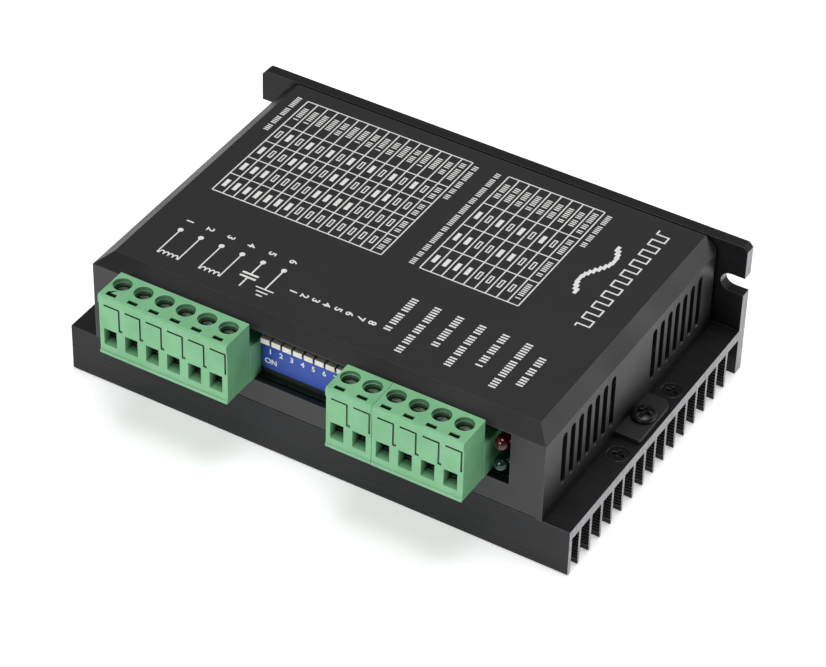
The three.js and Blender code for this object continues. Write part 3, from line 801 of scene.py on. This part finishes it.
def supply_symbols(across, down, pitch):
    """A capacitor on the supply's terminal and an earth sign on the one after it."""
    earth_across = across + pitch
    plate_wide = 3.8
    plate_thick = 0.55
    near_plate = down + 4.3
    far_plate = down + 5.4
    tail = down + 5.9
    tail_end = down + 8.7
    earth_down = down + 7.0
    earth_pitch = 1.1
    earth_bars = (4.2, 2.7, 1.4)
    shapes = [disc(x, down, TERMINAL_DOT) for x in (across, earth_across)]
    shapes += path([(across, down), (across, near_plate)], SYMBOL_STROKE)
    for plate in (near_plate, far_plate):
        shapes.append(bar(across - plate_wide / 2, plate, plate_wide, plate_thick))
    shapes += path([(across, tail), (across, tail_end)], SYMBOL_STROKE)
    shapes += path([(earth_across, down), (earth_across, earth_down)], SYMBOL_STROKE)
    for i, wide in enumerate(earth_bars):
        shapes.append(bar(earth_across - wide / 2, earth_down + earth_pitch * i, wide, SYMBOL_STROKE))
    return shapes


def mark(name, text, place, height, turn, material):
    """A number or a short mark in bold print, its middle at place."""
    data = bpy.data.curves.new(name, "FONT")
    data.body = text
    data.size = height * FONT_SIZE * MM
    data.bevel_depth = FONT_BOLDNESS * height * MM
    data.align_x = "CENTER"
    data.align_y = "CENTER"
    data.extrude = INK_FILM / 2 * MM
    data.materials.append(material)
    piece = bpy.data.objects.new(name, data)
    scene.collection.objects.link(piece)
    piece.matrix_world = Matrix.Translation(place) @ turn
    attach(piece, BODY)


def number_row(name, material, count, across, down, pitch):
    """The numbers from 1 to count on the cover, side by side."""
    sideways = Matrix.Rotation(-math.pi / 2, 4, "Z")
    for i in range(count):
        x = cover_low.x + (across + i * pitch) * MM
        place = Vector((x, cover_high.y - down * MM, cover_high.z + INK_MIDDLE * MM))
        mark(f"{name}_{i + 1}", str(i + 1), place, NUMBER_TALL, sideways, material)


def wiring_symbols(material):
    """Two motor windings, a capacitor and an earth sign, one terminal after another."""
    at_pole = [SYMBOLS_ACROSS + i * SYMBOLS_PITCH for i in range(POWER_POLES)]
    shapes = coil(at_pole[0], SYMBOLS_DOWN, SYMBOLS_PITCH)
    shapes += coil(at_pole[2], SYMBOLS_DOWN, SYMBOLS_PITCH)
    shapes += supply_symbols(at_pole[4], SYMBOLS_DOWN, SYMBOLS_PITCH)
    ink_mesh("print_wiring_symbols", shapes, material)


def cover_print(ink):
    chance = random.Random(NOTES_SEED)
    table(
        "print_step_table", ink, across=5.14, down=4.25, wide=41.07, columns=16,
        heading=10.14, rows=4, row=6.75, seed=11,
    )
    table(
        "print_current_table", ink, across=55.0, down=4.4, wide=22.86, columns=9,
        heading=10.7, rows=3, row=8.57, seed=23,
    )
    notes("print_table_notes", ink, chance, TABLE_NOTES, TABLE_NOTES_TALL)
    title_wave(ink, across=90.3, down=3.9)
    stepped_wave(ink, across=83.9, down=13.3)
    notes("print_signal_marks", ink, chance, SIGNAL_NOTES, SIGNAL_NOTES_TALL)
    number_row(
        "print_switch_number", ink, LEVERS,
        SWITCH_NUMBERS_ACROSS, SWITCH_NUMBERS_DOWN, SWITCH_NUMBERS_PITCH,
    )
    wiring_symbols(ink)
    number_row(
        "print_terminal_number", ink, POWER_POLES,
        SYMBOLS_ACROSS, SYMBOLS_DOWN - POLE_NUMBER_ABOVE, SYMBOLS_PITCH,
    )


def switch_print(ink):
    """The numbers under the levers, on the switch's face, and the mark for a closed switch."""
    low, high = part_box("switch_housing")
    upright = Matrix.Rotation(math.pi / 2, 4, "X")
    face = low.y - INK_FILM / 2 * MM
    for i in range(1, LEVERS + 1):
        place = Vector((middle(f"switch_lever_{i}").x, face, high.z - LEVER_NUMBER_DOWN * MM))
        mark(f"print_lever_number_{i}", str(i), place, LEVER_NUMBER_TALL, upright, ink)
    closed = Vector((low.x + CLOSED_MARK_ACROSS * MM, face, high.z - CLOSED_MARK_DOWN * MM))
    mark("print_closed_mark", "ON", closed, CLOSED_MARK_TALL, upright, ink)


# ---- contacts --------------------------------------------------------------------
# The numbers of the terminal screws in front of each header, and so of its pins.
HEADER_POLES = {
    "motor_power_6way": range(1, 7),
    "enable_2way": range(7, 9),
    "pulse_direction_4way": range(9, 13),
}

# In mm. A pin starts and ends this far in front of its header's back, and its tip's
# width is a share of its own.
PIN_WIDE = 0.9
PIN_START = 1.95
PIN_END = 8.6
PIN_TAPER = 0.8
PIN_TIP_SHARE = 0.45


def square_pin(bm, x, z, start, end):
    """A square pin along -Y with a tapered tip at its end."""
    half = PIN_WIDE / 2 * MM
    rings = [(start, half), (end + PIN_TAPER * MM, half), (end, half * PIN_TIP_SHARE)]
    corners = ((-1, -1), (1, -1), (1, 1), (-1, 1))
    made = []
    for y, reach in rings:
        made.append([bm.verts.new((x + a * reach, y, z + b * reach)) for a, b in corners])
    bm.faces.new(made[0])
    bm.faces.new(made[-1])
    for ring, after in zip(made, made[1:]):
        for i in range(len(corners)):
            j = (i + 1) % len(corners)
            bm.faces.new((ring[i], ring[j], after[j], after[i]))


def header_pins():
    metal = tinned_brass()
    for label, numbers in HEADER_POLES.items():
        low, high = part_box(f"header_{label}")
        bm = bmesh.new()
        for number in numbers:
            x = middle(f"terminal_screw_{number:02d}").x
            square_pin(bm, x, (low.z + high.z) / 2, high.y - PIN_START * MM, high.y - PIN_END * MM)
        solid(f"pins_{label}", bm, metal, BODY)


finish_cad_pieces()
white_ink = screen_ink()
cover_print(white_ink)
switch_print(white_ink)
header_pins()
floor()
studio()
camera()
